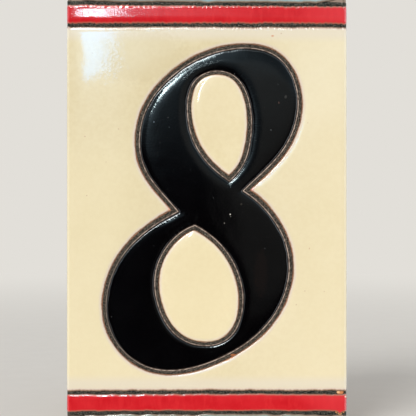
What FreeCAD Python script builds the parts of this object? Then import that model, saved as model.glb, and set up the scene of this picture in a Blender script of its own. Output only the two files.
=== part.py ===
import FreeCAD, Part
import math
import os

# House-number tile showing an 8: one pressed and fired piece of clay, glazed by hand.
# Sizes are in millimetres. The tile stands as it hangs on a wall: +Z is up, +X is to the
# viewer's right, the back lies in the plane Y = 0 and the glazed front faces -Y.
# The origin is the centre of the back.

# The whole tile
TILE_WIDTH = 70.0
TILE_HEIGHT = 110.0
TILE_THICKNESS = 7.0
CORNER_RADIUS = 1.2
FRONT_EDGE_RADIUS = 1.0
BACK_EDGE_RADIUS = 0.5

# Drawn lines keep the glazes apart, and each glaze stands above them as a shallow pool
LINE_WIDTH = 1.6
GLAZE_RISE = 0.6
RIM_RADIUS = 0.45

# At the top and at the foot: an outer band at the tile's end, then a stripe
OUTER_BAND_WIDTH = 3.3
STRIPE_WIDTH = 3.3

# The channels pressed into the back, which key the mortar
CHANNEL_COUNT = 8
CHANNEL_PITCH = 12.0
CHANNEL_LENGTH = 54.0
CHANNEL_WIDTH = 5.0
CHANNEL_DEPTH = 0.6

# Control points (X, Z) of the smooth curves along the middle of the numeral's lines, taken
# anticlockwise as the viewer sees them. The outer line has a corner at each of its notches,
# and each eye has one at its tip.
RIGHT_NOTCH = (9.9, 4.5)
LEFT_NOTCH = (-8.0, -0.6)
UPPER_LOBE = [
    (13.1, 7.7), (20.3, 13.3), (25.1, 27.0), (19.0, 40.9), (3.4, 41.0),
    (-8.5, 35.0), (-17.6, 24.4), (-17.9, 9.2), (-10.8, 2.9),
]
LOWER_LOBE = [
    (-13.0, -3.2), (-23.4, -10.2), (-28.1, -29.9), (-14.6, -43.6),
    (5.1, -38.5), (19.3, -27.5), (23.3, -9.3), (14.5, 1.7),
]
UPPER_TIP = (5.6, 7.5)
UPPER_EYE = [
    (8.6, 10.2), (10.4, 15.1), (11.2, 25.0), (7.3, 35.0),
    (-4.1, 33.7), (-4.9, 22.1), (-1.8, 13.7), (2.9, 9.3),
]
LOWER_TIP = (-3.0, -4.8)
LOWER_EYE = [
    (-6.3, -5.7), (-12.5, -12.1), (-13.1, -22.7), (-7.3, -34.1),
    (6.2, -34.6), (9.8, -22.7), (6.0, -11.5), (0.4, -6.5),
]

# Modelling allowances
CURVE_DEGREE = 3
RIM_STEPS = 3
OVERSIZE = 5.0
MATCH = 0.01

EYES = ((UPPER_TIP, UPPER_EYE), (LOWER_TIP, LOWER_EYE))
HALF_LINE = LINE_WIDTH / 2
BODY_FACE = GLAZE_RISE - TILE_THICKNESS
FIELD_TOP = TILE_HEIGHT / 2 - OUTER_BAND_WIDTH - STRIPE_WIDTH - 2 * LINE_WIDTH


def spot(point):
    """A point of the drawing, given as (X, Z), on the face of the clay body."""
    return FreeCAD.Vector(point[0], BODY_FACE, point[1])


def outward(start, end):
    """The direction to the right of a step, which is outward on an anticlockwise outline."""
    step = end - start
    return FreeCAD.Vector(step.z, 0, -step.x).normalize()


def smooth_edge(poles):
    curve = Part.BSplineCurve()
    curve.buildFromPoles(poles, False, CURVE_DEGREE)
    return curve.toShape()


def moved_outward(poles, distance):
    """Control points moved sideways, each one square to the step between its neighbours."""
    moved = []
    for before, pole, after in zip(poles, poles[1:], poles[2:]):
        moved.append(pole + outward(before, after) * distance)
    return moved


def mitre(before, corner, after, distance):
    """The corner of two sides that both move outward by a distance."""
    first = outward(before, corner)
    second = outward(corner, after)
    return corner + (first + second) * (distance / (1 + first.dot(second)))


def numeral_outline(distance):
    """The numeral's closed outline, at a distance outside the middle of its line."""
    right = spot(RIGHT_NOTCH)
    left = spot(LEFT_NOTCH)
    upper = [right] + [spot(point) for point in UPPER_LOBE] + [left]
    lower = [left] + [spot(point) for point in LOWER_LOBE] + [right]
    right_corner = mitre(lower[-2], right, upper[1], distance)
    left_corner = mitre(upper[-2], left, lower[1], distance)
    upper_edge = smooth_edge([right_corner] + moved_outward(upper, distance) + [left_corner])
    lower_edge = smooth_edge([left_corner] + moved_outward(lower, distance) + [right_corner])
    return Part.Wire([upper_edge, lower_edge])


def eye_outline(eye, distance):
    """An eye's closed outline, at a distance outside the middle of its line."""
    tip = spot(eye[0])
    ring = [tip] + [spot(point) for point in eye[1]] + [tip]
    corner = mitre(ring[-2], tip, ring[1], distance)
    return Part.Wire([smooth_edge([corner] + moved_outward(ring, distance) + [corner])])


def band_outline(foot, top, distance):
    """A rectangle past the tile's sides, grown by a distance at its foot and top."""
    reach = TILE_WIDTH / 2 + OVERSIZE
    low = foot - distance
    high = top + distance
    corners = [spot(point) for point in ((-reach, low), (reach, low), (reach, high), (-reach, high))]
    return Part.makePolygon(corners + corners[:1])


def rim_profile():
    """How far a glaze's rim has drawn in at each height above the clay, as it rolls over."""
    profile = [(0, 0)]
    for step in range(RIM_STEPS + 1):
        turn = math.pi / 2 * step / RIM_STEPS
        drawn_in = RIM_RADIUS * (1 - math.cos(turn))
        profile.append((drawn_in, GLAZE_RISE - RIM_RADIUS * (1 - math.sin(turn))))
    return profile


def glaze_solid(outline_at):
    """The solid inside a glaze's outer rim. The outline comes from a function of distance."""
    sections = []
    for drawn_in, height in rim_profile():
        section = outline_at(-drawn_in)
        section.translate(FreeCAD.Vector(0, -height, 0))
        sections.append(section)
    return Part.makeLoft(sections, True, True)


def glaze_hole(outline_at):
    """The space inside a hole's rim, which widens as the rim rolls over, and above it."""
    sections = []
    for drawn_in, height in rim_profile() + [(RIM_RADIUS, GLAZE_RISE + OVERSIZE)]:
        section = outline_at(drawn_in)
        section.translate(FreeCAD.Vector(0, -height, 0))
        sections.append(section)
    return Part.makeLoft(sections, True, True)


def numeral_glaze():
    """The numeral, inside its line, with the two eyes left open."""
    solid = glaze_solid(lambda distance: numeral_outline(distance - HALF_LINE))
    holes = [
        glaze_hole(lambda distance: eye_outline(eye, distance + HALF_LINE))
        for eye in EYES
    ]
    return solid.cut(holes)


def eye_glazes():
    return [
        glaze_solid(lambda distance: eye_outline(eye, distance - HALF_LINE))
        for eye in EYES
    ]


def field_glaze():
    """The ground round the numeral, from stripe to stripe."""
    ground = glaze_solid(lambda distance: band_outline(-FIELD_TOP, FIELD_TOP, distance))
    return ground.cut(glaze_hole(lambda distance: numeral_outline(distance + HALF_LINE)))


def band_glazes():
    """The stripes and the outer bands, at the top and mirrored at the foot."""
    stripe_foot = FIELD_TOP + LINE_WIDTH
    stripe_top = stripe_foot + STRIPE_WIDTH
    outer_foot = stripe_top + LINE_WIDTH
    outer_top = TILE_HEIGHT / 2 + OVERSIZE
    upper_bands = [
        glaze_solid(lambda distance: band_outline(foot, top, distance))
        for foot, top in ((stripe_foot, stripe_top), (outer_foot, outer_top))
    ]
    centre = FreeCAD.Vector(0, 0, 0)
    return upper_bands + [band.mirror(centre, FreeCAD.Vector(0, 0, 1)) for band in upper_bands]


def rounded_tile():
    """The tile's outer shape, with soft corners and a rounder edge in front than behind."""
    block = Part.makeBox(
        TILE_WIDTH, TILE_THICKNESS, TILE_HEIGHT,
        FreeCAD.Vector(-TILE_WIDTH / 2, -TILE_THICKNESS, -TILE_HEIGHT / 2),
    )
    corners = [edge for edge in block.Edges if edge.BoundBox.YLength > TILE_THICKNESS - MATCH]
    block = block.makeFillet(CORNER_RADIUS, corners)
    front = [edge for edge in block.Edges if edge.BoundBox.YMax < MATCH - TILE_THICKNESS]
    block = block.makeFillet(FRONT_EDGE_RADIUS, front)
    back = [edge for edge in block.Edges if edge.BoundBox.YMin > -MATCH]
    return block.makeFillet(BACK_EDGE_RADIUS, back)


def clay_block():
    """The clay under the glaze, left over-size so that the rounded tile trims it."""
    width = TILE_WIDTH + 2 * OVERSIZE
    height = TILE_HEIGHT + 2 * OVERSIZE
    corner = FreeCAD.Vector(-width / 2, BODY_FACE, -height / 2)
    return Part.makeBox(width, OVERSIZE - BODY_FACE, height, corner)


def back_channel(height):
    """One round-ended channel across the back, centred at a height."""
    half_run = (CHANNEL_LENGTH - CHANNEL_WIDTH) / 2
    half_width = CHANNEL_WIDTH / 2
    top = height + half_width
    foot = height - half_width
    right_end = Part.Arc(
        FreeCAD.Vector(half_run, 0, foot),
        FreeCAD.Vector(half_run + half_width, 0, height),
        FreeCAD.Vector(half_run, 0, top),
    )
    left_end = Part.Arc(
        FreeCAD.Vector(-half_run, 0, top),
        FreeCAD.Vector(-half_run - half_width, 0, height),
        FreeCAD.Vector(-half_run, 0, foot),
    )
    upper_side = Part.LineSegment(right_end.EndPoint, left_end.StartPoint)
    lower_side = Part.LineSegment(left_end.EndPoint, right_end.StartPoint)
    outline = Part.Wire([piece.toShape() for piece in (right_end, upper_side, left_end, lower_side)])
    return Part.Face(outline).extrude(FreeCAD.Vector(0, -CHANNEL_DEPTH, 0))


def back_channels():
    lowest = -CHANNEL_PITCH * (CHANNEL_COUNT - 1) / 2
    return [back_channel(lowest + CHANNEL_PITCH * index) for index in range(CHANNEL_COUNT)]


def number_tile():
    """The whole tile: clay and glazes fused, trimmed to the tile's shape, its back keyed."""
    glazes = [field_glaze(), numeral_glaze()] + eye_glazes() + band_glazes()
    glazed = clay_block().fuse(glazes)
    tile = rounded_tile().common(glazed)
    return tile.cut(back_channels()).removeSplitter()


os.makedirs("parts", exist_ok=True)
tile = number_tile()
print("solids:", len(tile.Solids), "valid:", tile.isValid(), "mm3:", round(tile.Volume, 1))
tile.Solids[0].exportStep("parts/number_tile.step")
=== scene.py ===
import math
from collections import namedtuple

import bpy
import numpy as np
from mathutils.geometry import delaunay_2d_cdt
from mathutils.kdtree import KDTree
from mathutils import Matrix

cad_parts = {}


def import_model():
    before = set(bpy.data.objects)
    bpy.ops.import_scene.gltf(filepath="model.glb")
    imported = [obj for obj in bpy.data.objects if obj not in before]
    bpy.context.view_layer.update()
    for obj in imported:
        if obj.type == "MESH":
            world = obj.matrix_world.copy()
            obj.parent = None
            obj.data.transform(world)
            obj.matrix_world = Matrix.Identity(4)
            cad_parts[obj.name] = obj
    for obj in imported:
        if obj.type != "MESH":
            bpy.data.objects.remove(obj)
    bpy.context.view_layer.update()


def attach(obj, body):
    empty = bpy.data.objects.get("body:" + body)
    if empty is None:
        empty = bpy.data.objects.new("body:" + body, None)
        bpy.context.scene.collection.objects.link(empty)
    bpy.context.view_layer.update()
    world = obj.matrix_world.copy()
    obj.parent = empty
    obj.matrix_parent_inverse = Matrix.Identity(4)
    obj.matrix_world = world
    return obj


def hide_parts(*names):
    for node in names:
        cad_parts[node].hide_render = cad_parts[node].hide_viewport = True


# House-number tile showing an 8: one fired piece, glazed by hand between drawn lines.
# Lengths are in millimetres until a mesh is made. X is to the viewer's right, Z is up, and
# the glazed front faces -Y. Drawings are flat (X, Z) points that place() lays on the tile.

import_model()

# One millimetre, in metres
MM = 0.001

# The tile, as in the CAD source. The clay and the glaze keep just inside its faces
TILE_WIDTH = 70.0
TILE_HEIGHT = 110.0
TILE_THICKNESS = 7.0
CORNER_RADIUS = 1.1
EDGE_RADIUS = 0.9
BACK_RADIUS = 0.5
CHANNEL_COUNT = 8
CHANNEL_PITCH = 12.0
CHANNEL_LENGTH = 54.0
CHANNEL_WIDTH = 5.0
CHANNEL_DEPTH = 0.6

# Room for glaze over the clay in front and at the sides, where the glaze runs a little wide
GLAZE_ROOM = 0.6
SIDE_ROOM = 0.16
SIDE_SPREAD = 0.05

# Middle of the numeral's lines
RIGHT_NOTCH = (9.9, 4.5)
LEFT_NOTCH = (-8.0, -0.6)
UPPER_LOBE = [
    (13.1, 7.7), (20.3, 13.3), (25.1, 27.0), (19.0, 40.9), (3.4, 41.0),
    (-8.5, 35.0), (-17.6, 24.4), (-17.9, 9.2), (-10.8, 2.9),
]
LOWER_LOBE = [
    (-13.0, -3.2), (-23.4, -10.2), (-28.1, -29.9), (-14.6, -43.6),
    (5.1, -38.5), (19.3, -27.5), (23.3, -9.3), (14.5, 1.7),
]
UPPER_TIP = (5.6, 7.5)
UPPER_EYE = [
    (8.6, 10.2), (10.4, 15.1), (11.2, 25.0), (7.3, 35.0),
    (-4.1, 33.7), (-4.9, 22.1), (-1.8, 13.7), (2.9, 9.3),
]
LOWER_TIP = (-3.0, -4.8)
LOWER_EYE = [
    (-6.3, -5.7), (-12.5, -12.1), (-13.1, -22.7), (-7.3, -34.1),
    (6.2, -34.6), (9.8, -22.7), (6.0, -11.5), (0.4, -6.5),
]

# Where the glazes stop from the middle of the numeral's line, and of the eyes' lines
BLACK_EDGE = 0.72
CREAM_EDGE = -0.64
EYE_EDGE = -0.58

# Each straight line's middle at the tile's left, middle and right, which way its red stripe
# lies, and where the red and the other glaze stop from its middle, counted that way
Line = namedtuple("Line", "heights side red other")
TOP_OUTER = Line((51.0, 50.8, 50.55), -1, -0.05, -0.64)
TOP_INNER = Line((45.85, 45.9, 45.75), 1, 0.22, -0.36)
FOOT_INNER = Line((-46.15, -46.0, -46.1), -1, 0.22, -0.36)
FOOT_OUTER = Line((-50.95, -50.75, -50.9), 1, 0.08, -0.56)

# The drop of red that runs over the line under the foot stripe: its middle, half width, depth
DROP = (33.2, 0.5, 0.75)

# The outer bands' half length, how far they go past the tile's ends, and how their corners
# draw back: over what run and how far
BAND_REACH = 33.0
BAND_PAST = 0.9
DROOP_RUN = 7.0
DROOP = 1.6

# How finely outlines are drawn and filled. The rings are rows of points beside a rim: how
# far in each lies, and every which of the rim's points it follows
STEP = 0.15
SAMPLES = 900
GRID = 0.5
RINGS = ((0.03, 1), (0.08, 1), (0.16, 1), (0.28, 1), (0.45, 2), (0.7, 3), (1.05, 4), (1.45, 4))


# Flat geometry

def turned(vectors):
    """Each vector turned a quarter anticlockwise."""
    return np.stack([-vectors[:, 1], vectors[:, 0]], 1)


def unit(vectors):
    return vectors / np.maximum(np.linalg.norm(vectors, axis=1, keepdims=True), 1e-9)


def run_along(points):
    """How far along the line through some points each of them lies."""
    return np.concatenate([[0], np.cumsum(np.linalg.norm(np.diff(points, axis=0), axis=1))])


def even_places(run, step):
    """Places about a step apart along a run, without its end."""
    return np.linspace(0, run[-1], int(run[-1] / step), endpoint=False)


def clamped_basis(count, at):
    """Weights of each control point of a cubic curve that starts and ends on its end points."""
    last = count - 3
    knots = np.concatenate([[0] * 4, np.arange(1, last), [last] * 4]).astype(float)
    at = np.clip(at, 0, last - 1e-9)[:, None]
    weights = ((knots[:-1] <= at) & (at < knots[1:])).astype(float)
    for degree in (1, 2, 3):
        starts, ends = knots[:-degree - 1], knots[degree + 1:]
        rise, fall = knots[degree:-1] - starts, ends - knots[1:-degree]
        up = (at - starts) / np.where(rise > 0, rise, 1) * weights[:, :-1]
        down = (ends - at) / np.where(fall > 0, fall, 1) * weights[:, 1:]
        weights = up + down
    return weights


def even_basis(poles):
    """The basis at parameters that give evenly spaced points, without the last one."""
    at = np.linspace(0, len(poles) - 3, 4000)
    run = run_along(clamped_basis(len(poles), at) @ poles)
    return clamped_basis(len(poles), np.interp(even_places(run, STEP), run, at))


def moved_outward(poles, distance):
    """Control points moved to the right of their run, each square to its neighbours' step."""
    side = -turned(unit(poles[2:] - poles[:-2]))
    return poles[1:-1] + side * distance


def mitre(before, corner, after, distance):
    first, second = -turned(unit(np.array([corner - before, after - corner])))
    return corner + (first + second) * (distance / (1 + first @ second))


def drawn_outline(*parts):
    """A function from a distance outside a closed line to that outline's points. The line is
    given as the control points of its parts, each from one corner to the next."""
    parts = [np.array(part) for part in parts]
    bases = [even_basis(part) for part in parts]

    def outline(distance):
        corners = [mitre(before[-2], after[0], after[1], distance)
                   for before, after in zip(parts[-1:] + parts[:-1], parts)]
        sides = []
        for start, end, part, basis in zip(corners, corners[1:] + corners[:1], parts, bases):
            sides.append(basis @ np.vstack([start, moved_outward(part, distance), end]))
        return np.vstack(sides)

    return outline


def line_height(line, across, glaze=None):
    """The height of a straight line drawn by hand, or of the named glaze's edge in it."""
    left, middle, right = line.heights
    part = np.clip(across / (TILE_WIDTH / 2), -1, 1)
    height = middle + (right - left) / 2 * part + ((right + left) / 2 - middle) * part ** 2
    return height + line.side * getattr(line, glaze) if glaze else height


def resampled(table, step):
    """Even steps round a closed outline. A table's first two columns are the outline's X and
    Z, and its other columns follow along."""
    ring = np.vstack([table, table[:1]])
    run = run_along(ring[:, :2])
    places = even_places(run, step)
    return np.stack([np.interp(places, run, column) for column in ring.T], 1)


def rounded_off(points, passes):
    for _ in range(passes):
        points = points / 2 + (np.roll(points, 1, 0) + np.roll(points, -1, 0)) / 4
    return points


def swell(at, shortest, longest, seed, waves=36):
    """A random even swell of about unit height at flat or solid points."""
    dice = np.random.default_rng(seed)
    total = np.zeros(len(at))
    for _ in range(waves):
        heading = dice.normal(size=at.shape[1])
        heading *= 2 * math.pi / dice.uniform(shortest, longest) / np.linalg.norm(heading)
        total += np.cos(at @ heading + dice.uniform(0, 2 * math.pi))
    return total * math.sqrt(2 / waves)


def beads(run, shortest, longest, seed, bluntness):
    """Rounded bulges from 0 to 1 along a closed outline of that many millimetres."""
    dice = np.random.default_rng(seed)
    length = run[-1] + STEP
    widths = dice.uniform(shortest, longest, int(length / shortest) + 2)
    ends = np.cumsum(widths)
    ends = ends[ends < length - shortest / 2]
    ends = np.concatenate([[0], ends * length / ends[-1]])
    depths = dice.uniform(0.35, 1, len(ends))
    index = np.clip(np.searchsorted(ends, run, "right") - 1, 0, len(ends) - 2)
    part = (run - ends[index]) / (ends[index + 1] - ends[index])
    return np.sin(math.pi * np.clip(part, 0.001, 0.999)) ** bluntness * depths[index]


class Outline:
    """A closed outline with the glaze on its left: a smooth run, its uneven edge and rings.
    The edge wobbles slowly and has beads, which fade out within a bead's reach of it."""

    BEAD_REACH = 0.22

    def __init__(self, points, seed, wobble, bead, passes, bead_size=(0.55, 1.1), bluntness=0.5):
        self.base = rounded_off(resampled(points, STEP), passes)
        along = np.roll(self.base, -1, 0) - np.roll(self.base, 1, 0)
        self.inward = turned(unit(along))
        run = np.arange(len(self.base)) * STEP
        self.slow = wobble * swell(self.base, 2.5, 9, seed)
        self.fast = bead * (beads(run, *bead_size, seed, bluntness) - 0.6)
        self.edge = self.ring(0)

    def ring(self, distance):
        bulge = self.slow + self.fast * math.exp(-distance / self.BEAD_REACH)
        return self.base + self.inward * (distance - bulge)[:, None]


class Plain:
    """An outline with an even edge, for the clay's flat faces."""

    def __init__(self, edge, inward):
        self.edge = edge
        self.inward = inward

    def ring(self, distance):
        return self.edge + self.inward * distance


class Region:
    """The flat area inside some outlines, cut into triangles, with distances to its edge."""

    def __init__(self, outlines, grid=GRID, rings=RINGS):
        self.edge = np.vstack([o.edge for o in outlines])
        self.inward = np.vstack([o.inward for o in outlines])
        self.rim = len(self.edge)
        starts = np.cumsum([0] + [len(o.edge) for o in outlines])
        self.next = np.arange(self.rim) + 1
        self.back = np.arange(self.rim) - 1
        for first, end in zip(starts, starts[1:]):
            self.next[end - 1] = first
            self.back[first] = end - 1
        self.tree = KDTree(self.rim)
        for index, (x, z) in enumerate(self.edge):
            self.tree.insert((x, z, 0), index)
        self.tree.balance()
        inner = []
        for distance, stride in rings:
            ring = np.vstack([o.ring(distance)[::stride] for o in outlines])
            inner.append(ring[self.depth(ring) > 0.8 * distance])
        spots = self.hexagons(grid)
        inner.append(spots[self.depth(spots) > rings[-1][0] + grid * 0.35])
        self.build(np.vstack(inner))

    def hexagons(self, grid):
        """An even grid over the whole area, shaken a little so that no points line up."""
        low, high = self.edge.min(0), self.edge.max(0)
        rows = np.arange(low[1], high[1], grid * math.sqrt(3) / 2)
        columns = np.arange(low[0], high[0] + grid, grid)
        x, z = np.meshgrid(columns, rows)
        x = x + (np.arange(len(rows)) % 2)[:, None] * grid / 2
        spots = np.stack([x.ravel(), z.ravel()], 1)
        return spots + np.random.default_rng(5).uniform(-0.02, 0.02, spots.shape) * grid

    def nearest(self, points):
        """The number of the edge point nearest to each point."""
        return np.array([self.tree.find((x, z, 0))[1] for x, z in points])

    def depth(self, points):
        """How far inside the edge each point is. Outside it is negative."""
        found = self.nearest(points)
        best = np.full(len(points), 1e9)
        for a, b in ((self.back[found], found), (found, self.next[found])):
            side = self.edge[b] - self.edge[a]
            part = np.einsum("ij,ij->i", points - self.edge[a], side)
            part = np.clip(part / np.einsum("ij,ij->i", side, side), 0, 1)
            foot = self.edge[a] + side * part[:, None]
            best = np.minimum(best, np.linalg.norm(points - foot, axis=1))
        inside = np.einsum("ij,ij->i", points - self.edge[found], self.inward[found]) > 0
        return np.where(inside, best, -best)

    def triangles(self, points):
        """Points, the number of the given point at each (or -1), and triangles inside."""
        sides = np.stack([np.arange(self.rim), self.next], 1).tolist()
        made = delaunay_2d_cdt([tuple(p) for p in points.tolist()], sides, [], 0, 1e-6, True)
        spots = np.array([tuple(p) for p in made[0]])
        source = np.array([ids[0] if ids else -1 for ids in made[3]])
        faces = np.array(made[2])
        return spots, source, faces[self.depth(spots[faces].mean(1)) > 0]

    def build(self, inner):
        """The triangles of the top, whose first points are the edge's, and of the underside."""
        spots, source, faces = self.triangles(np.vstack([self.edge, inner]))
        order = np.argsort(np.where(source < 0, self.rim + len(inner), source), kind="stable")
        used, numbers = np.unique(np.argsort(order)[faces], return_inverse=True)
        assert (used[:self.rim] == np.arange(self.rim)).all()
        self.points = spots[order[used]]
        self.faces = numbers.reshape(faces.shape)
        self.distance = np.maximum(self.depth(self.points), 0)
        self.distance[:self.rim] = 0
        spots, source, faces = self.triangles(self.edge)
        assert len(spots) == self.rim
        self.under = source[faces][:, ::-1]

    def dome(self, reach):
        """The height, from 0 at the edge towards 1, of a pool whose rim rounds over that far.
        It is a loaded sheet on a soft bed, solved by conjugate gradients."""
        a, b, c = (self.points[self.faces[:, k]] for k in range(3))
        area = np.abs((b - a)[:, 0] * (c - a)[:, 1] - (b - a)[:, 1] * (c - a)[:, 0]) / 2
        count = len(self.points)
        mass = np.bincount(self.faces.ravel(), np.repeat(area / 3, 3), count)
        starts, ends, pulls = [], [], []
        for k in range(3):
            i, j, apex = (self.faces[:, (k + turn) % 3] for turn in range(3))
            u, v = self.points[i] - self.points[apex], self.points[j] - self.points[apex]
            starts.append(i)
            ends.append(j)
            pulls.append(np.einsum("ij,ij->i", u, v) / (4 * area + 1e-12) * reach ** 2)
        starts, ends, pulls = (np.concatenate(x) for x in (starts, ends, pulls))
        diagonal = mass + np.bincount(starts, pulls, count) + np.bincount(ends, pulls, count)
        free = np.arange(count) >= self.rim

        def pulled(height):
            out = diagonal * height
            out -= np.bincount(starts, pulls * height[ends], count)
            out -= np.bincount(ends, pulls * height[starts], count)
            return out * free

        height = np.zeros(count)
        left = mass * free
        heading = left / diagonal
        power = first = left @ heading
        for _ in range(900):
            pull = pulled(heading)
            stride = power / (heading @ pull)
            height += stride * heading
            left -= stride * pull
            scaled = left / diagonal * free
            fresh = left @ scaled
            if fresh < 1e-11 * first:
                break
            heading = scaled + heading * (fresh / power)
            power = fresh
        return height


# From flat drawings to the tile's surface

def wrapped(run, half):
    """Place, depth and tilt of a run along the tile's face that goes on round its edge."""
    flat = half - EDGE_RADIUS
    past = np.maximum(np.abs(run) - flat, 0)
    turn = np.minimum(past / EDGE_RADIUS, math.pi / 2)
    straight = past - turn * EDGE_RADIUS
    spot = np.sign(run) * (np.minimum(np.abs(run), flat) + EDGE_RADIUS * np.sin(turn))
    return spot, EDGE_RADIUS * (1 - np.cos(turn)) + straight, turn


def place(points, thickness, ends=False):
    """Points in space for flat points and the glaze's thickness over the clay there.
    The run goes on round the tile's sides, or round its top and foot where ends is set."""
    axis = 1 if ends else 0
    half = TILE_HEIGHT / 2 if ends else TILE_WIDTH / 2 + SIDE_SPREAD
    spot, depth, turn = wrapped(points[:, axis], half)
    share = turn / (math.pi / 2)
    room = GLAZE_ROOM + (SIDE_ROOM - GLAZE_ROOM) * share ** 0.7
    gap = room * (1 - np.clip(thickness / GLAZE_ROOM, -0.2, 1))
    out = np.zeros((len(points), 3))
    out[:, 2 if ends else 0] = spot - np.sign(points[:, axis]) * np.sin(turn) * gap
    out[:, 0 if ends else 2] = points[:, 1 - axis]
    out[:, 1] = depth - TILE_THICKNESS + np.cos(turn) * gap
    return out


def add_object(name, data):
    made = bpy.data.objects.new(name, data)
    bpy.context.scene.collection.objects.link(made)
    return made


def mark_sharp(mesh, following):
    """Makes the edge from each of the first points to the one that follows it a sharp one."""
    ends = np.zeros(len(mesh.edges) * 2, np.int32)
    mesh.edges.foreach_get("vertices", ends)
    hard = np.zeros(len(mesh.edges), bool)
    for first, second in (ends.reshape(-1, 2).T, ends.reshape(-1, 2).T[::-1]):
        rim = first < len(following)
        hard[rim] |= following[first[rim]] == second[rim]
    mesh.attributes.new("sharp_edge", "BOOLEAN", "EDGE").data.foreach_set("value", hard)


def make_mesh(name, points, faces, attributes=(), following=None):
    """A smooth-shaded mesh object in metres. Faces are triangles or quads in one array."""
    size = faces.shape[1]
    mesh = bpy.data.meshes.new(name)
    mesh.vertices.add(len(points))
    mesh.vertices.foreach_set("co", (points * MM).astype(np.float32).ravel())
    mesh.loops.add(faces.size)
    mesh.loops.foreach_set("vertex_index", faces.astype(np.int32).ravel())
    mesh.polygons.add(len(faces))
    mesh.polygons.foreach_set("loop_start", np.arange(0, faces.size, size, dtype=np.int32))
    mesh.polygons.foreach_set("use_smooth", np.ones(len(faces), bool))
    mesh.update(calc_edges=True)
    mesh.validate()
    for title, values in dict(attributes).items():
        attribute = mesh.attributes.new(title, "FLOAT", "POINT")
        attribute.data.foreach_set("value", values.astype(np.float32))
    if following is not None:
        mark_sharp(mesh, following)
    return add_object(name, mesh)


# The glaze pools

NUMERAL = drawn_outline([RIGHT_NOTCH, *UPPER_LOBE, LEFT_NOTCH],
                        [LEFT_NOTCH, *LOWER_LOBE, RIGHT_NOTCH])
EYES = {"upper": drawn_outline([UPPER_TIP, *UPPER_EYE, UPPER_TIP]),
        "lower": drawn_outline([LOWER_TIP, *LOWER_EYE, LOWER_TIP])}
SIDE_RUN = TILE_WIDTH / 2 - EDGE_RADIUS + EDGE_RADIUS * math.pi / 2
END_RUN = TILE_HEIGHT / 2 - EDGE_RADIUS + EDGE_RADIUS * math.pi / 2


# How much wider a blunt spot makes the rim, the height below which a flatter pool has lost
# its full share and over what height that fades, and how far in from the edge the swell sets in
BLUNTER = 0.16
FLAT_BELOW, FLAT_FADE = -2.0, 12.0
SWELL_REACH = 1.2


def pool(name, outlines, rim, crown, reach, seed, rim_reach=0.08, uneven=0.001, ends=False,
         grid=GRID, flatter=0.0, blunt_spot=None):
    """A glaze pool: it rises steeply at its edge, domes gently and swells unevenly. Below the
    tile's middle a share of its dome may be gone, which leaves it flatter up to its edge.
    Round a blunt spot, an X, a Z and a size, its rim rises over a wider strip."""
    region = Region(outlines, grid)
    depth = region.distance
    if blunt_spot:
        away = np.linalg.norm(region.points - blunt_spot[:2], axis=1) / blunt_spot[2]
        rim_reach = rim_reach + BLUNTER * np.exp(-away ** 2)
    kept = np.clip((region.points[:, 1] - FLAT_BELOW) / FLAT_FADE, 0, 1)
    lost = flatter * (1 - kept) * crown
    height = (rim + lost) * (1 - np.exp(-depth / rim_reach)) + (crown - lost) * region.dome(reach)
    height += uneven * swell(region.points, 3, 11, seed) * (1 - np.exp(-depth / SWELL_REACH))
    points = place(region.points, height, ends)
    along = region.nearest(region.points) * STEP
    return make_mesh(name, points, np.vstack([region.faces, region.under]),
                     {"edge": depth, "run": along}, region.next)


def stripe_points(low_line, high_line, glaze, past, drop=0.0):
    """A closed outline between two straight lines, anticlockwise, to the named glaze's edges.
    It goes past the tile's sides, and a drop may run down over the lower line."""
    across = np.linspace(-SIDE_RUN - past, SIDE_RUN + past, SAMPLES)
    low = line_height(low_line, across, glaze)
    low = low - drop * np.exp(-((across - DROP[0]) / DROP[1]) ** 4)
    foot = np.stack([across, low], 1)
    top = np.stack([across, line_height(high_line, across, glaze)], 1)[::-1]
    return np.vstack([foot, top])


def band_points(line):
    """An outer band's outline from its line round the tile's end. Its corners draw back."""
    away = -line.side
    across = np.linspace(-BAND_REACH, BAND_REACH, SAMPLES)
    near = np.abs(line_height(line, across, "other"))
    for past in (BAND_REACH + across, BAND_REACH - across):
        share = np.clip(1 - past / DROOP_RUN, 0, 1)
        near = near + DROOP * (1 - np.sqrt(np.clip(1 - share ** 2, 0, 1)))
    inner = np.stack([across, near * away], 1)
    outer = np.stack([across, np.full_like(across, (END_RUN + BAND_PAST) * away)], 1)
    ring = np.vstack([inner, outer[::-1]])
    return ring if away > 0 else ring[::-1]


def numeral_pool():
    outlines = [Outline(NUMERAL(-BLACK_EDGE), 11, 0.04, 0.09, passes=2, bead_size=(0.5, 0.8))]
    for seed, eye in zip((12, 13), EYES.values()):
        outlines.append(Outline(eye(BLACK_EDGE)[::-1], seed, 0.04, 0.06, passes=2))
    return pool("black_numeral", outlines, rim=0.3, crown=0.16, reach=0.95, seed=21,
                rim_reach=0.1, uneven=0.002, flatter=0.6, blunt_spot=(-8.8, -2.4, 3.4))


def cream_pools():
    ground = stripe_points(FOOT_INNER, TOP_INNER, "other", 0.9)
    rim = Outline(ground, 14, 0.05, 0.12, passes=16, bead_size=(0.6, 1.1), bluntness=1.0)
    hole = Outline(NUMERAL(-CREAM_EDGE)[::-1], 15, 0.03, 0.04, passes=2)
    pools = [pool("cream_field", [rim, hole], rim=0.28, crown=0.27, reach=1.2, seed=22,
                  rim_reach=0.09)]
    for n, (title, eye) in enumerate(EYES.items()):
        edge = Outline(eye(EYE_EDGE), 16 + n, 0.03, 0.04, passes=2)
        pools.append(pool("cream_eye_" + title, [edge], rim=0.27, crown=0.27, reach=0.85,
                          seed=23 + n))
    return pools


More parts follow.
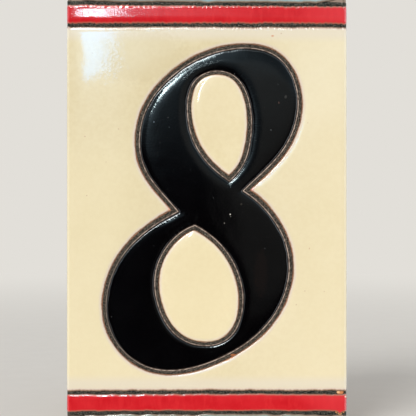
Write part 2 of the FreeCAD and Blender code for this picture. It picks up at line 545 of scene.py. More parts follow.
def end_pools():
    """The red stripes and the outer bands, at the top and at the foot."""
    top = stripe_points(TOP_INNER, TOP_OUTER, "red", 0.7)
    foot = stripe_points(FOOT_OUTER, FOOT_INNER, "red", 0.7, DROP[2])
    pools = []
    for n, (title, points, bead) in enumerate((("top", top, 0.2), ("foot", foot, 0.07))):
        edge = Outline(points, 31 + n, 0.05, bead, passes=16, bead_size=(1.1, 1.6), bluntness=1.0)
        pools.append(pool("red_stripe_" + title, [edge], rim=0.3, crown=0.26, reach=1.2,
                          seed=33 + n, rim_reach=0.11, grid=0.4))
    for n, (title, line) in enumerate((("top", TOP_OUTER), ("foot", FOOT_OUTER))):
        edge = Outline(band_points(line), 41 + n, 0.08, 0.05, passes=20)
        pools.append(pool("blue_band_" + title, [edge], rim=0.28, crown=0.24, reach=1.6,
                          seed=43 + n, ends=True))
    return pools


# The drawn lines. Each is a strip of columns, at these places across its middle. It goes
# down to the foot in the clay, a ridge runs beside the numeral's lines, and the straight
# lines stay below their top

ACROSS = np.array([-0.95, -0.8, -0.66, -0.54, -0.42, -0.28, -0.14, 0.0, 0.12, 0.24, 0.34, 0.44,
                   0.54, 0.66, 0.8, 0.95])
LINE_FOOT = -0.08
RIDGE_PLACE = 0.48
RIDGE_WIDTH = 0.12
RIDGE_HEIGHT = 0.14
STRAIGHT_TOP = 0.16


def crust(points, across, low, high):
    """The line's height over the clay: a gritty dark crust beside a thin smooth ridge."""
    bed = 0.03 + 0.02 * swell(points, 0.5, 1.6, 51)
    grit = 0.5 + 0.35 * swell(points, 0.28, 0.5, 52) + 0.3 * swell(points, 0.6, 1.5, 53)
    core = np.exp(-((across - (low + high) / 2) / ((high - low) * 0.42)) ** 4)
    ridge = np.exp(-((across - RIDGE_PLACE) / RIDGE_WIDTH) ** 2) * (across < high + 0.5)
    return bed + core * (0.05 + 0.09 * np.clip(grit, 0, 1.3)) + RIDGE_HEIGHT * ridge


def line_strip(columns, low, high, closed):
    """Points, faces and the place across the line of one drawn line, with an underside. The
    closed lines round the numeral have a ridge, and the straight ones have none."""
    count = len(columns[0])
    flat = np.stack(columns, 1)
    across = np.tile(ACROSS, (count, 1))
    height = crust(flat.reshape(-1, 2), across.ravel(), low, high).reshape(count, -1)
    if not closed:
        across = np.clip(across, -0.3, 0.2)
        height = np.minimum(height, STRAIGHT_TOP)
    top = place(flat.reshape(-1, 2), height.ravel()).reshape(count, -1, 3)
    under = place(flat[:, [-1, 0]].reshape(-1, 2), np.full(count * 2, LINE_FOOT))
    ring = np.concatenate([top, under.reshape(count, 2, 3)], 1)
    wide = ring.shape[1]
    index = np.arange(count * wide).reshape(count, wide)
    ahead = np.roll(index, -1, 0)
    if not closed:
        index, ahead = index[:-1], ahead[:-1]
    faces = np.stack([index, ahead, np.roll(ahead, -1, 1), np.roll(index, -1, 1)], -1)
    across = np.concatenate([across, across[:, [-1, 0]]], 1)
    return ring.reshape(-1, 3), faces.reshape(-1, 4), across.ravel()


def straight_columns(line):
    run = np.arange(-SIDE_RUN - 1, SIDE_RUN + 1, STEP)
    drift = 0.07 * swell(np.stack([run, np.full_like(run, line.heights[1])], 1), 5, 16, 54)
    middle = line_height(line, run) + drift
    columns = [np.stack([run, middle + line.side * v], 1) for v in ACROSS]
    return columns if line.side < 0 else [column[::-1] for column in columns]


def drawn_lines():
    strips = [([NUMERAL(-v) for v in ACROSS], -0.62, 0.3, True)]
    strips += [([eye(v)[::-1] for v in ACROSS], -0.58, 0.3, True) for eye in EYES.values()]
    for line in (TOP_OUTER, TOP_INNER, FOOT_INNER, FOOT_OUTER):
        strips.append((straight_columns(line), line.other, line.red, False))
    points, faces, across = [], [], []
    for strip in strips:
        start = sum(len(p) for p in points)
        made = line_strip(*strip)
        points.append(made[0])
        faces.append(made[1] + start)
        across.append(made[2])
    return make_mesh("drawn_lines", np.vstack(points), np.vstack(faces),
                     {"across": np.concatenate(across)})


# The clay body

CLAY_STEP = 0.42
CLAY_INSET = SIDE_ROOM - 0.01
CLAY_EDGE_RADIUS = EDGE_RADIUS - 0.25
CLAY_ROUGHNESS = 0.07
FRONT_GRID = 1.6
BACK_GRID = 0.9
CLAY_RINGS = ((0.4, 1),)

# Inset and depth of the rows down a channel's wall, from the back's face to its floor
CHANNEL_ROWS = ((0, 0), (0.08, -0.1), (0.14, -0.35), (0.25, -0.52), (0.5, -CHANNEL_DEPTH))


def rounded_rectangle(half_width, half_height, radius):
    """An anticlockwise outline with its outward directions."""
    table = []
    for quarter in range(4):
        x = (half_width - radius) * (1 if quarter in (0, 3) else -1)
        z = (half_height - radius) * (1 if quarter in (0, 1) else -1)
        for turn in np.linspace(quarter, quarter + 1, 9) * math.pi / 2:
            across, up = math.cos(turn), math.sin(turn)
            table.append((x + across * radius, z + up * radius, across, up))
    table = resampled(np.array(table), CLAY_STEP)
    return table[:, :2], unit(table[:, 2:])


def body_rows():
    """Inset and depth of each row down the side, from the clay's face to its back."""
    front, radius = GLAZE_ROOM - TILE_THICKNESS, CLAY_EDGE_RADIUS
    rows = []
    for turn in np.linspace(0, math.pi / 2, 7):
        rows.append((radius * (1 - math.sin(turn)), front + radius * (1 - math.cos(turn))))
    for depth in np.linspace(front + radius, -BACK_RADIUS, 14)[1:-1]:
        rows.append((0, depth))
    for turn in np.linspace(0, math.pi / 2, 6):
        rows.append((BACK_RADIUS * (1 - math.cos(turn)), BACK_RADIUS * (math.sin(turn) - 1)))
    return rows


class Shell:
    """The clay's points, their outward directions and the faces between them."""

    def __init__(self):
        self.points, self.normals, self.faces = [], [], []
        self.count = 0

    def add(self, flat, depth, normals):
        """Adds flat points at one depth and returns their numbers."""
        self.points.append(np.insert(flat, 1, depth, axis=1))
        self.normals.append(np.broadcast_to(normals, (len(flat), 3)))
        self.count += len(flat)
        return np.arange(self.count - len(flat), self.count)

    def join(self, first, second, way=1):
        """Triangles between two rows of the same count of points. -1 turns them round."""
        first_next, second_next = np.roll(first, -1), np.roll(second, -1)
        self.faces.append(np.stack([first, second, second_next], 1)[:, ::way])
        self.faces.append(np.stack([first, second_next, first_next], 1)[:, ::way])

    def cap(self, outlines, rows, depth, grid, facing):
        """A flat face inside some rows. It faces the front at -1 and the back at 1."""
        region = Region(outlines, grid, CLAY_RINGS)
        inner = self.add(region.points[region.rim:], depth, (0.0, facing, 0.0))
        numbers = np.concatenate([*rows, inner])
        self.faces.append(numbers[region.faces[:, ::-facing]])

    def channel(self, height):
        """One channel's walls: its outline, outward directions and rows of points."""
        ring, outward = rounded_rectangle(CHANNEL_LENGTH / 2, CHANNEL_WIDTH / 2,
                                          CHANNEL_WIDTH / 2 - 0.01)
        ring = ring + [0, height]
        rows = [self.add(ring - outward * inset, depth, (0.0, 1.0, 0.0))
                for inset, depth in CHANNEL_ROWS]
        for upper, lower in zip(rows, rows[1:]):
            self.join(lower, upper, -1)
        return ring, outward, rows


def clay_body():
    """The biscuit: rounded sides, and eight round-ended channels pressed into its back."""
    shell = Shell()
    base, outward = rounded_rectangle(TILE_WIDTH / 2 - CLAY_INSET, TILE_HEIGHT / 2 - CLAY_INSET,
                                      CORNER_RADIUS)
    sizes = body_rows()
    sideways = np.insert(outward, 1, 0.0, axis=1)
    rows = [shell.add(base - outward * inset, depth, sideways) for inset, depth in sizes]
    for upper, lower in zip(rows, rows[1:]):
        shell.join(lower, upper)
    front, back = (Plain(base - outward * inset, -outward) for inset, _ in (sizes[0], sizes[-1]))
    shell.cap([front], rows[:1], sizes[0][1], FRONT_GRID, -1)
    heights = (np.arange(CHANNEL_COUNT) - (CHANNEL_COUNT - 1) / 2) * CHANNEL_PITCH
    channels = [shell.channel(height) for height in heights]
    mouths = [Plain(ring[::-1], away[::-1]) for ring, away, _ in channels]
    mouth_rows = [walls[0][::-1] for _, _, walls in channels]
    shell.cap([back, *mouths], [rows[-1], *mouth_rows], 0.0, BACK_GRID, 1)
    for ring, away, walls in channels:
        floor_edge = Plain(ring - away * CHANNEL_ROWS[-1][0], -away)
        shell.cap([floor_edge], walls[-1:], -CHANNEL_DEPTH, BACK_GRID, 1)
    points, normals = np.vstack(shell.points), np.vstack(shell.normals)
    rough = 0.5 + 0.35 * swell(points, 0.9, 2.2, 61) + 0.3 * swell(points, 4, 14, 62)
    points = points - normals * (CLAY_ROUGHNESS * np.clip(rough, 0, 1.5))[:, None]
    return make_mesh("clay_body", points, np.vstack(shell.faces))


# Materials

def colour(value):
    """A colour written as sRGB 0 to 255, or a grey as a linear number, made linear."""
    if not isinstance(value, tuple):
        return value, value, value, 1.0
    shares = [part / 255 for part in value]
    return (*(s / 12.92 if s <= 0.04045 else ((s + 0.055) / 1.055) ** 2.4 for s in shares), 1.0)


class Graph:
    """Makes nodes in a tree. What goes into a node is a value or another node's output."""

    def __init__(self, tree):
        self.nodes, self.links = tree.nodes, tree.links

    def node(self, kind, inputs, output=0, **settings):
        """One output of a new node. Its inputs are given by name or number."""
        made = self.nodes.new("ShaderNode" + kind)
        for name, value in settings.items():
            setattr(made, name, value)
        self.fill(made, inputs)
        return made.outputs[output]

    def fill(self, made, inputs):
        for name, value in inputs.items():
            if isinstance(value, bpy.types.NodeSocket):
                self.links.new(value, made.inputs[name])
            else:
                made.inputs[name].default_value = value

    def math(self, kind, first, second=0.0):
        return self.node("Math", {0: first, 1: second}, operation=kind)

    def vector(self, kind, first, second):
        return self.node("VectorMath", {0: first, 1: second}, operation=kind)

    def length(self, vector):
        return self.node("VectorMath", {0: vector}, "Value", operation="LENGTH")

    def both(self, first, *others):
        """The product of some masks, which are 0 to 1."""
        for other in others:
            first = self.math("MULTIPLY", first, other)
        return first

    def step(self, value, low, high):
        """0 below low and 1 above high, smooth between. High below low turns it round."""
        ends = (low, high, 0.0, 1.0) if low < high else (high, low, 1.0, 0.0)
        names = ("From Min", "From Max", "To Min", "To Max")
        return self.node("MapRange", {"Value": value, **dict(zip(names, ends))}, "Result",
                         interpolation_type="SMOOTHSTEP")

    def mix(self, share, first, second):
        """From the first colour to the second as the share goes from 0 to 1."""
        tones = [tone if isinstance(tone, bpy.types.NodeSocket) else colour(tone)
                 for tone in (first, second)]
        return self.node("Mix", {"Factor": share, "A": tones[0], "B": tones[1]}, "Result",
                         data_type="RGBA")

    def ramp(self, value, stops):
        """Colours blended from one place to the next. Each stop is a place and its colour."""
        low, high = stops[0][0], stops[-1][0]
        share = self.node("MapRange", {"Value": value, "From Min": low, "From Max": high})
        made = self.nodes.new("ShaderNodeValToRGB")
        self.fill(made, {"Fac": share})
        elements = made.color_ramp.elements
        for _ in stops[2:]:
            elements.new(0.5)
        for element, (at, tone) in zip(elements, stops):
            element.position = (at - low) / (high - low)
            element.color = colour(tone)
        return made.outputs["Color"]

    def chosen(self, ray, first, second):
        """The first shader, and the second for one kind of ray or share of it."""
        return self.node("MixShader", {"Fac": ray, 1: first, 2: second})

    def ray(self, kind):
        return self.node("LightPath", {}, kind)

    def show(self, kind, shader):
        self.fill(self.nodes.new(kind), {"Surface": shader})


class Shader(Graph):
    """A node material whose patterns are laid out in millimetres on the piece."""

    def __init__(self, name):
        self.material = bpy.data.materials.new(name)
        self.material.use_nodes = True
        super().__init__(self.material.node_tree)
        place = self.node("TexCoord", {}, "Object")
        self.spot = self.node("VectorMath", {0: place, "Scale": 1 / MM}, operation="SCALE")

    def attribute(self, name):
        return self.node("Attribute", {}, "Fac", attribute_name=name)

    def part(self, axis):
        return self.node("SeparateXYZ", {0: self.spot}, axis)

    def noise(self, size, detail=2.0, stretch=None):
        """Cloudy noise with features of that many millimetres."""
        where = self.vector("MULTIPLY", self.spot, stretch) if stretch else self.spot
        return self.node("TexNoise", {"Vector": where, "Scale": 1 / size, "Detail": detail})

    def line_noise(self, value, size):
        """Noise along one value only."""
        return self.node("TexNoise", {"W": value, "Scale": 1 / size, "Detail": 1.0},
                         noise_dimensions="1D")

    def cloud(self, size, low, high, detail=2.0):
        """Soft patches of noise between two of its levels."""
        return self.step(self.noise(size, detail), low, high)

    def cells(self, size):
        """Distance from the middle of the nearest cell, in units of that size."""
        return self.node("TexVoronoi", {"Vector": self.spot, "Scale": 1 / size}, "Distance")

    def dots(self, size, low, high):
        """Round dots, one in each cell of that size, as wide as low and soft up to high."""
        return self.step(self.cells(size), high, low)

    def wander(self, size, swing, detail=2.0):
        """Noise from minus half the swing to half of it."""
        return self.math("MULTIPLY", self.math("SUBTRACT", self.noise(size, detail), 0.5), swing)

    def ragged(self, edge, size, swing):
        """A distance from the edge that wanders by up to half the swing."""
        return self.math("ADD", edge, self.wander(size, swing, 3.0))

    def near_ends(self, low=44.2, high=44.6):
        """1 beside the straight lines at the tile's top and foot, 0 round the numeral."""
        return self.step(self.math("ABSOLUTE", self.part("Z")), low, high)

    def away(self, x, z, wide, tall, ragged=0.35, size=0.6):
        """Distance from a spot on the tile's face, in units of its size, with a ragged edge."""
        moved = self.vector("ADD", self.spot, (-x, 0, -z))
        length = self.length(self.vector("MULTIPLY", moved, (1 / wide, 0, 1 / tall)))
        return self.math("ADD", length, self.wander(size, ragged * 2))

    def over(self, base, tone, *masks):
        """A colour laid over another, as far as the product of the masks."""
        return self.mix(self.both(*masks), base, tone)

    def spots(self, base, marks):
        """Coloured marks with ragged edges laid over a colour."""
        for x, z, wide, tall, strength, tone in marks:
            mark = self.step(self.away(x, z, wide, tall), 1.0, 0.5)
            base = self.over(base, tone, mark, strength)
        return base

    def bump(self, height, depth, after=None):
        """Bumps of that many millimetres."""
        inputs = {"Height": height, "Strength": 1.0, "Distance": depth * MM}
        return self.node("Bump", {**inputs, "Normal": after} if after else inputs)

    def orange_peel(self, fine, broad, after=None, size=0.6):
        """The faint ripple of a fired glaze."""
        first = self.bump(self.noise(size, 1.0), fine, after)
        return self.bump(self.noise(2.6, 1.0), broad, first)

    def gloss(self, least, swing, size):
        """An uneven roughness."""
        return self.math("ADD", least, self.math("MULTIPLY", self.noise(size, 3.0), swing))

    def finish(self, base, roughness, normal, specular=0.5):
        self.fill(self.nodes["Principled BSDF"], {
            "Base Color": base, "Roughness": roughness, "Normal": normal,
            "Specular IOR Level": specular, "IOR": 1.5})
        return self.material


# Marks laid over the glazes, mostly small flaws of the firing, with broader changes of tone, a
# patch of painted shade and a few painted glints: X, Z, width, height, strength and colour
CREAM_FLAWS_AND_PAINTED_SHADE = (
    (-1.8, -21, 12, 17, 0.5, (236, 219, 178)), (1.5, 26, 12, 15, 0.3, (232, 216, 178)),
    # Painted shade: the broad darker patch at X -16, Z 38, up and left of the numeral
    (-16, 38, 14, 8.5, 0.4, (220, 204, 163)), (16.4, 43.1, 0.45, 0.3, 0.6, (214, 120, 60)),
    (-9.5, -0.1, 0.3, 0.8, 0.75, (236, 164, 126)), (-9.9, 0.5, 0.8, 1.6, 0.4, (240, 206, 186)),
    (11.4, 4.9, 0.6, 0.8, 0.6, (244, 176, 168)), (6.1, -37.2, 0.5, 0.35, 0.8, (226, 132, 70)),
    (5, -37.9, 0.9, 0.3, 0.5, (236, 170, 130)), (25.6, -10, 0.2, 0.3, 0.5, (196, 140, 96)),
    (-30.4, 18, 0.2, 0.2, 0.5, (190, 130, 90)),
)
BLACK_SPECKS_AND_PAINTED_GLINTS = (
    # Painted glints: the white speck at X 5.85, Z -1.45 and the bluish specks at X -13.2, Z 21.6
    # and X -9.4, Z 20.3. The other marks are grey and brown specks in the glaze
    (5.85, -1.45, 0.2, 0.2, 0.95, (216, 210, 200)), (5.95, -2, 0.16, 0.14, 0.7, (120, 116, 110)),
    (4.4, -3.65, 0.13, 0.2, 0.8, (126, 120, 114)), (-13.2, 21.6, 0.2, 0.18, 0.8, (112, 124, 134)),
    (18, 26.4, 0.16, 0.36, 0.6, (96, 70, 64)), (19.7, 27.9, 0.4, 0.5, 0.35, (80, 78, 74)),
    (13.5, -16, 2.2, 7.5, 0.6, (17, 9, 8)), (8.6, 1.1, 0.35, 0.3, 0.3, (84, 78, 70)),
    (-9.4, 20.3, 0.12, 0.12, 0.6, (88, 96, 100)),
)
RED_SPOTS = ((34.7, -46.9, 0.35, 0.45, 0.9, (240, 224, 200)),)
LINE_SPOTS = (
    (33.3, -45.9, 1.1, 0.7, 0.95, (212, 134, 86)), (32.9, -45.9, 0.5, 0.3, 0.7, (246, 208, 160)),
    (32.4, -50.6, 0.4, 0.6, 0.8, (226, 150, 90)), (34.1, -50.6, 0.4, 0.6, 0.8, (226, 150, 90)),
    (33.3, -51.3, 0.7, 0.3, 0.8, (232, 170, 110)), (6.6, -36.6, 0.8, 0.35, 0.6, (206, 120, 66)),
)

# What each glaze goes through from its edge inward, as millimetres and a colour: thin and
# brown where it is drawn over the line, then paler than its own colour. CREAM_PLAIN is the
# cream's edge beside the straight lines
CREAM_HALO = ((0, (104, 82, 66)), (0.1, (180, 146, 123)), (0.22, (226, 203, 183)),
              (0.4, (239, 223, 202)), (1, (237, 223, 193)))
CREAM_PLAIN = ((0, (98, 82, 70)), (0.2, (146, 118, 98)), (0.42, (200, 170, 148)),
               (0.6, (233, 214, 198)), (1.2, (236, 223, 200)))
RED_RIM = ((0, (106, 83, 70)), (0.12, (144, 104, 87)), (0.28, (192, 104, 88)),
           (0.45, (206, 70, 64)), (0.75, (214, 46, 48)))
BLUE_RIM = ((0, (96, 82, 72)), (0.2, (132, 114, 98)), (0.38, (150, 140, 126)),
            (0.6, (148, 164, 162)), (1, (140, 176, 180)))


def cream_base(s):
    """The cream's broad colour, a little warmer and paler towards its left, right and foot:
    painted light, as if more light fell there.
    """
    x, z = s.part("X"), s.part("Z")
    clouds = s.mix(s.cloud(14.0, 0.35, 0.65), (234, 219, 178), (239, 225, 187))
    fine = s.mix(s.cloud(1.1, 0.3, 0.7, 3.0), (229, 212, 170), (242, 229, 193))
    base = s.mix(0.3, clouds, fine)
    # Painted light: paler towards the right, the foot, the lower left and across the right middle
    base = s.over(base, (250, 236, 198), s.step(x, 2.0, 32.0), 0.4)
    base = s.over(base, (250, 236, 198), s.step(z, 10.0, -40.0), 0.25)
    base = s.over(base, (250, 236, 196), s.step(x, -8.0, -26.0), s.step(z, 26.0, 6.0), 0.5)
    base = s.over(base, (250, 241, 214), s.step(x, 6.0, 30.0), s.step(z, 8.0, 34.0), 0.35)
    return s.over(base, (238, 227, 205), s.near_ends(41.0, 43.8), 0.8)


def cream_glaze():
    s = Shader("cream_glaze")
    ragged = s.ragged(s.attribute("edge"), 0.55, 0.3)
    halo = s.mix(s.near_ends(), s.ramp(ragged, CREAM_HALO), s.ramp(ragged, CREAM_PLAIN))
    base = s.mix(s.step(ragged, 0.4, 1.1), halo, cream_base(s))
    base = s.over(base, (176, 120, 70), s.dots(4.2, 0.025, 0.045), 0.45)
    base = s.spots(base, CREAM_FLAWS_AND_PAINTED_SHADE)
    rippled = s.math("ADD", 0.16, s.step(s.away(-22.8, 37.0, 5.2, 12.0, 0.2, 3.0), 1.1, 0.0))
    normal = s.bump(s.both(s.noise(0.45, 1.0), rippled), 0.0085)
    beaded = s.both(s.line_noise(s.part("X"), 0.5), s.near_ends(44.0, 44.6),
                    s.step(s.part("X"), -27.0, -24.0))
    normal = s.bump(s.noise(2.6, 1.0), 0.0008, s.bump(beaded, 0.06, normal))
    return s.finish(base, s.gloss(0.02, 0.03, 3.0), normal)


def black_glaze():
    s = Shader("black_glaze")
    edge, run = s.attribute("edge"), s.attribute("run")
    base = s.mix(s.cloud(7.0, 0.3, 0.7, 3.0), (3, 2, 3), (5, 4, 5))
    base = s.over(base, (40, 30, 24), s.step(edge, 0.1, 0.03))
    dots = s.both(s.dots(1.7, 0.03, 0.07), s.cloud(6.0, 0.5, 0.62))
    base = s.over(base, (70, 66, 62), dots, 0.5)
    base = s.over(base, (54, 52, 50), s.dots(0.85, 0.05, 0.12), s.cloud(2.2, 0.48, 0.6), 0.4)
    base = s.spots(base, BLACK_SPECKS_AND_PAINTED_GLINTS)
    strokes = s.both(s.line_noise(run, 0.3), s.step(edge, 3.6, 0.8))
    normal = s.bump(strokes, 0.005, s.bump(dots, -0.03))
    low_spot = s.step(s.away(-8.8, -2.4, 6.0, 6.0, 0.0), 1.1, 0.7)
    low_rim = s.both(s.line_noise(run, 0.7), s.step(edge, 0.9, 0.3), low_spot)
    high_spot = s.step(s.away(-7.4, 34.2, 6.0, 6.0, 0.0), 1.1, 0.7)
    high_rim = s.both(s.line_noise(run, 0.35), s.step(edge, 1.0, 0.6), high_spot)
    normal = s.bump(high_rim, 0.03, s.bump(low_rim, 0.07, normal))
    normal = s.orange_peel(0.003, 0.0016, normal, 0.45)
    return s.finish(base, s.gloss(0.02, 0.03, 2.0), normal)


def red_glaze():
    s = Shader("red_glaze")
    base = s.mix(s.cloud(5.0, 0.35, 0.65, 3.0), (206, 30, 38), (214, 38, 45))
    streak = s.noise(1.1, 2.0, (1.0, 1.0, 0.3))
    base = s.over(base, (224, 52, 55), s.step(streak, 0.45, 0.7), 0.35)
    base = s.over(base, (228, 62, 68), s.step(s.part("X"), 20.0, 33.0), 0.6)
    base = s.spots(base, RED_SPOTS)
    ragged = s.ragged(s.attribute("edge"), 0.6, 0.16)
    base = s.mix(s.step(ragged, 0.38, 0.75), s.ramp(ragged, RED_RIM), base)
    beaded = s.both(s.line_noise(s.part("X"), 0.9), s.step(s.part("Z"), 49.9, 50.2))
    normal = s.orange_peel(0.008, 0.001, s.bump(beaded, 0.08), 0.36)
    return s.finish(base, s.gloss(0.02, 0.03, 2.5), normal)


def blue_glaze():
    s = Shader("blue_glaze")
    streak = s.noise(1.6, 3.0, (1.0, 0.35, 0.35))
    base = s.mix(s.step(streak, 0.35, 0.65), (128, 176, 184), (172, 198, 204))
    base = s.over(base, (192, 212, 214), s.cloud(0.8, 0.5, 0.75, 3.0))
    ragged = s.ragged(s.attribute("edge"), 0.6, 0.24)
    base = s.mix(s.step(ragged, 0.45, 1.0), s.ramp(ragged, BLUE_RIM), base)
    return s.finish(base, s.gloss(0.05, 0.05, 2.5), s.orange_peel(0.002, 0.002))


def line_crust():
    """Dark grit with light grains, a brown edge at one side and a tan ridge at the other."""
    s = Shader("line_crust")
    across, wander = s.attribute("across"), s.wander(0.5, 0.3, 3.0)
    fringe = s.math("ADD", across, wander)
    steady = s.math("ADD", across, s.math("MULTIPLY", wander, 0.25))
    grain = s.cloud(0.34, 0.43, 0.61, 3.0)
    round_numeral = s.mix(grain, (30, 27, 22), (99, 89, 78))
    grit = s.mix(s.near_ends(), round_numeral, s.mix(grain, (12, 14, 12), (88, 84, 75)))
    grit = s.over(grit, (66, 58, 50), s.cloud(2.6, 0.4, 0.65), 0.35)
    grit = s.over(grit, (140, 132, 120), s.dots(0.9, 0.1, 0.2), s.cloud(3.0, 0.45, 0.55), 0.7)
    base = s.over(grit, (166, 114, 84), s.step(fringe, -0.48, -0.6))
    tan = s.mix(s.cloud(0.9, 0.35, 0.6, 3.0), (116, 98, 88), (190, 168, 154))
    tan = s.over(tan, (104, 98, 92), s.step(s.part("Z"), -6.0, -16.0),
                 s.step(s.part("X"), -12.0, -19.0), 0.65)
    base = s.mix(s.step(steady, 0.37, 0.43), base, tan)
    base = s.over(base, (46, 37, 31), s.step(steady, 0.58, 0.66))
    base = s.spots(base, LINE_SPOTS)
    return s.finish(base, 0.6, s.bump(s.noise(0.28, 3.0), 0.05), 0.12)


def biscuit():
    s = Shader("clay_biscuit")
    base = s.mix(s.cloud(9.0, 0.3, 0.7, 4.0), (184, 144, 112), (198, 160, 128))
    base = s.over(base, (214, 182, 152), s.cloud(0.7, 0.4, 0.7, 4.0), 0.5)
    base = s.over(base, (138, 98, 72), s.dots(1.9, 0.08, 0.16))
    base = s.over(base, (170, 150, 132), s.cloud(22.0, 0.5, 0.7), 0.4)
    base = s.over(base, (150, 131, 117), s.step(s.part("Y"), -5.7, -6.2))
    normal = s.bump(s.noise(0.35, 4.0), 0.06, s.bump(s.cells(1.9), 0.08))
    return s.finish(base, 0.85, normal, 0.25)


# The stage

CAMERA_PLACE = (0.0003, -0.2954, 0.000125)
CAMERA_LENS = 100
BACKDROP = (226, 223, 217)
FLOOR_TONES = ((224, 221, 215), (229, 226, 220))
FLOOR_RADIUS = 4.0
FLOOR_FADE = (0.18, 0.7)
SOFT_LIGHT = 0.56

# What a glaze reflects besides the lamps: how bright it is at each height of the direction
# looked in, how much of that there is from left to right, and its colour at full brightness
SKY = ((-0.02, 0.008), (0.02, 0.03), (0.045, 0.08), (0.07, 0.17), (0.1, 0.32), (0.115, 0.42),
       (0.13, 1), (0.5, 1))
ACROSS_SKY = ((-0.3, 0.15), (-0.14, 0.175), (-0.105, 0.8), (-0.066, 0.55), (-0.04, 0.25),
              (0, 0.1875), (0.03, 0.09), (0.1, 0.0625), (0.3, 0.1))
WALL = ((-0.105, 0), (-0.075, 0.13), (0, 0.16), (0.05, 0.2), (0.09, 0.24), (0.12, 0.24),
        (0.15, 0))
ACROSS_WALL = ((0.002, 0), (0.03, 1), (0.15, 1), (0.3, 0.4))
HIGH_SKY = ((0.37, 0), (0.41, 1), (0.51, 1), (0.57, 0.25), (0.9, 0.15), (1, 0.1))
ACROSS_HIGH_SKY = ((-0.5, 0), (-0.38, 0.7), (-0.22, 0.7), (-0.17, 0.3), (-0.145, 1),
                   (-0.094, 1), (-0.076, 0.2), (-0.03, 0.1), (0.1, 0.04))
REFLECTED = ((SKY, ACROSS_SKY, (2.88, 4, 4.6)), (WALL, ACROSS_WALL, (0.97, 1, 0.93)),
             (HIGH_SKY, ACROSS_HIGH_SKY, (22, 24, 24.5)))

# The same from left to right alone, for what the tile's sides reflect
SIDES = ((-1, 0.6), (-0.78, 0.6), (-0.62, 0), (0.56, 0), (0.72, 1), (1, 1))
SIDES_TINT = (2.5, 2.6, 2.7)

# The sun, and the weak fills with their place and radiance, in millimetres
SUN_PLACE = (-450, -720, 580)
SUN_STRENGTH = 1.44
SUN_ANGLE = 28
FILLS = (("fill_right", (170, -120, 20), 1.4), ("fill_low", (-30, -120, -180), 1.3))
FILL_SIZE = 100

# The window that the glazes mirror: leaning strips of light side by side in one upright
# plane. Each glaze has a window of its own, as each pool has its own shape: its radiance and
# colour, its top and left side, its foot or each strip's, and each strip's brightness. The
# cream's window is dimmer, so that its mirror image stays below white
WINDOW_PLANE = -1507
WINDOW_STRIP = 14.3
WINDOW_LEAN = 0.8
WINDOW_HINGE = 200
WINDOWS = {
    "cream": (9.6, (0.0, 0.4, 1.0), 515, -199.5, (196, 202, 211, 222), (1.0, 1.0, 0.9, 0.6)),
    "red": (54, (0.5, 0.92, 1.0), 600, -207.2, 196, (0.22, 1.0, 1.0, 0.32, 0.05, 0.01)),
    "black": (46, (0.8, 0.98, 1.0), 600, -200.0, 245,
              (1.0, 1.0, 1.0, 0.9, 0.6, 0.3, 0.15, 0.07)),
    "dark": (46, (0.85, 0.98, 1.0), 600, -200.0, 245, (1.0, 1.0, 1.0, 0.6, 0.2)),
    "eye": (40, (0.9, 0.98, 1.0), 690, -200.0, 186, (0.8, 1.0, 0.6, 0.2)),
}
WINDOW_OF = {"cream_field": "cream", "red_stripe_top": "red", "red_stripe_foot": "red",
             "black_numeral": "black", "cream_eye_upper": "eye"}

# A lamp for reflections alone, which picks out two of the rims: place, size and radiance
RIM_LIGHT = ((-404, WINDOW_PLANE, 790), 492, 200, 40)
RIMS = ("red_stripe_top", "black_numeral")


def aim(thing):
    """Turns an object so that its -Z looks at the tile's middle."""
    x, y, z = thing.location
    thing.rotation_euler = (math.atan2(math.hypot(x, y), z), 0, math.atan2(x, -y))


def camera():
    data = bpy.data.cameras.new("photo_camera")
    data.lens = CAMERA_LENS
    data.sensor_width = 36
    data.clip_start = 0.01
    made = add_object("photo_camera", data)
    made.location = CAMERA_PLACE
    made.rotation_euler = (math.pi / 2, 0, 0)
    bpy.context.scene.camera = made


def world():
    """Pale to the camera, an even soft light, and a darker foreground to a glaze's gloss."""
    made = bpy.data.worlds.new("studio")
    bpy.context.scene.world = made
    made.use_nodes = True
    made.node_tree.nodes.clear()
    g = Graph(made.node_tree)
    direction = g.node("TexCoord", {}, "Generated")
    x, z = (g.node("SeparateXYZ", {0: direction}, axis) for axis in "XZ")
    light = g.vector("MULTIPLY", g.ramp(x, SIDES), SIDES_TINT)
    for heights, across, tint in REFLECTED:
        part = g.vector("MULTIPLY", g.ramp(z, heights), g.ramp(x, across))
        light = g.vector("ADD", light, g.vector("MULTIPLY", part, tint))
    soft = g.node("Background", {"Color": colour(1.0), "Strength": SOFT_LIGHT})
    shown = g.chosen(g.ray("Is Glossy Ray"), soft, g.node("Background", {"Color": light}))
    seen = g.node("Background", {"Color": colour(BACKDROP)})
    g.show("ShaderNodeOutputWorld", g.chosen(g.ray("Is Camera Ray"), shown, seen))


def floor():
    """A pale floor under the tile that keeps its shadow and fades into the backdrop."""
    mesh = bpy.data.meshes.new("floor")
    height = -TILE_HEIGHT / 2 * MM
    rim = [(FLOOR_RADIUS * math.cos(turn), FLOOR_RADIUS * math.sin(turn), height)
           for turn in np.linspace(0, 2 * math.pi, 96, endpoint=False)]
    mesh.from_pydata(rim, [], [list(range(len(rim)))])
    material = bpy.data.materials.new("floor_paper")
    material.use_nodes = True
    material.node_tree.nodes.clear()
    g = Graph(material.node_tree)
    grain = g.node("TexNoise", {"Scale": 900})
    paper = g.node("BsdfDiffuse", {"Color": g.mix(grain, *FLOOR_TONES)})
    fade = g.step(g.length(g.node("NewGeometry", {}, "Position")), *FLOOR_FADE)
    far = g.node("Emission", {"Color": colour(BACKDROP)})
    shown = g.chosen(g.both(fade, g.ray("Is Camera Ray")), paper, far)
    shown = g.chosen(g.ray("Is Glossy Ray"), shown, g.node("BsdfTransparent", {}))
    g.show("ShaderNodeOutputMaterial", shown)
    mesh.materials.append(material)
    add_object("floor", mesh)


def collected(name, members):
    made = bpy.data.collections.new(name)
    for piece in members:
        made.objects.link(piece)
    return made


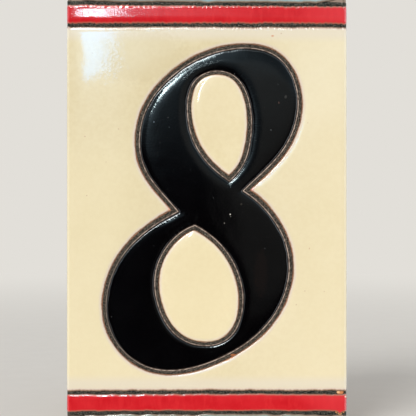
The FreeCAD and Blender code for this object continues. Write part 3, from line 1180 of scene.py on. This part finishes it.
def area_light(name, spot, wide, tall, radiance, lit, tint=(1, 1, 1), lean=0.0):
    """A rectangle of light, unseen itself, that faces the tile, leans left by an angle and
    lights one collection."""
    data = bpy.data.lights.new(name, "AREA")
    data.shape = "RECTANGLE"
    data.size = wide * MM
    data.size_y = tall * MM
    data.color = tint
    data.energy = radiance * data.size * data.size_y * math.pi
    made = add_object(name, data)
    made.location = [part * MM for part in spot]
    made.rotation_euler = (math.pi / 2, -math.radians(lean), 0)
    made.visible_camera = False
    made.light_linking.receiver_collection = lit
    return made


def windows(pieces):
    for title, (radiance, tint, top, left, feet, shares) in WINDOWS.items():
        lit = collected("lit_" + title, [piece for piece in pieces
                                         if WINDOW_OF.get(piece.name, "dark") == title])
        feet = np.broadcast_to(feet, len(shares)).tolist()
        for index, (foot, share) in enumerate(zip(feet, shares)):
            middle = (top + foot) / 2
            drift = math.tan(math.radians(WINDOW_LEAN)) * (middle - WINDOW_HINGE)
            spot = (left + WINDOW_STRIP * (index + 0.5) - drift, WINDOW_PLANE, middle)
            area_light(title + "_window_" + str(index), spot, WINDOW_STRIP, top - foot,
                       radiance * share, lit, tint, WINDOW_LEAN)


def lights(pieces):
    """A soft sun, two weak fills that only the tile holds back, the windows and the rim light."""
    sun = bpy.data.lights.new("soft_key", "SUN")
    sun.energy = SUN_STRENGTH
    sun.angle = math.radians(SUN_ANGLE)
    key = add_object("soft_key", sun)
    key.location = [part * MM for part in SUN_PLACE]
    aim(key)
    tile = collected("tile", pieces)
    for name, spot, radiance in FILLS:
        fill = area_light(name, spot, FILL_SIZE, FILL_SIZE, radiance, tile)
        aim(fill)
        fill.visible_glossy = False
        fill.light_linking.blocker_collection = tile
    windows(pieces)
    rims = collected("lit_rims", [piece for piece in pieces if piece.name in RIMS])
    area_light("rim_light", *RIM_LIGHT, rims).visible_diffuse = False


camera()
world()
floor()

# The material and the record's slot of each piece, by the first word of its name
FINISHES = {
    "black": (black_glaze(), "numeral_glaze"), "cream": (cream_glaze(), "field_glaze"),
    "red": (red_glaze(), "stripe_glaze"), "blue": (blue_glaze(), "band_glaze"),
    "drawn": (line_crust(), "drawn_line"), "clay": (biscuit(), "clay"),
}
body = clay_body()
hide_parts("number_tile")
pieces = [body, drawn_lines(), numeral_pool(), *cream_pools(), *end_pools()]
for piece in pieces:
    material, slot = FINISHES[piece.name.split("_")[0]]
    piece.data.materials.append(material)
    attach(piece, "root")
lights(pieces)

bpy.context.scene.view_settings.view_transform = "Standard"
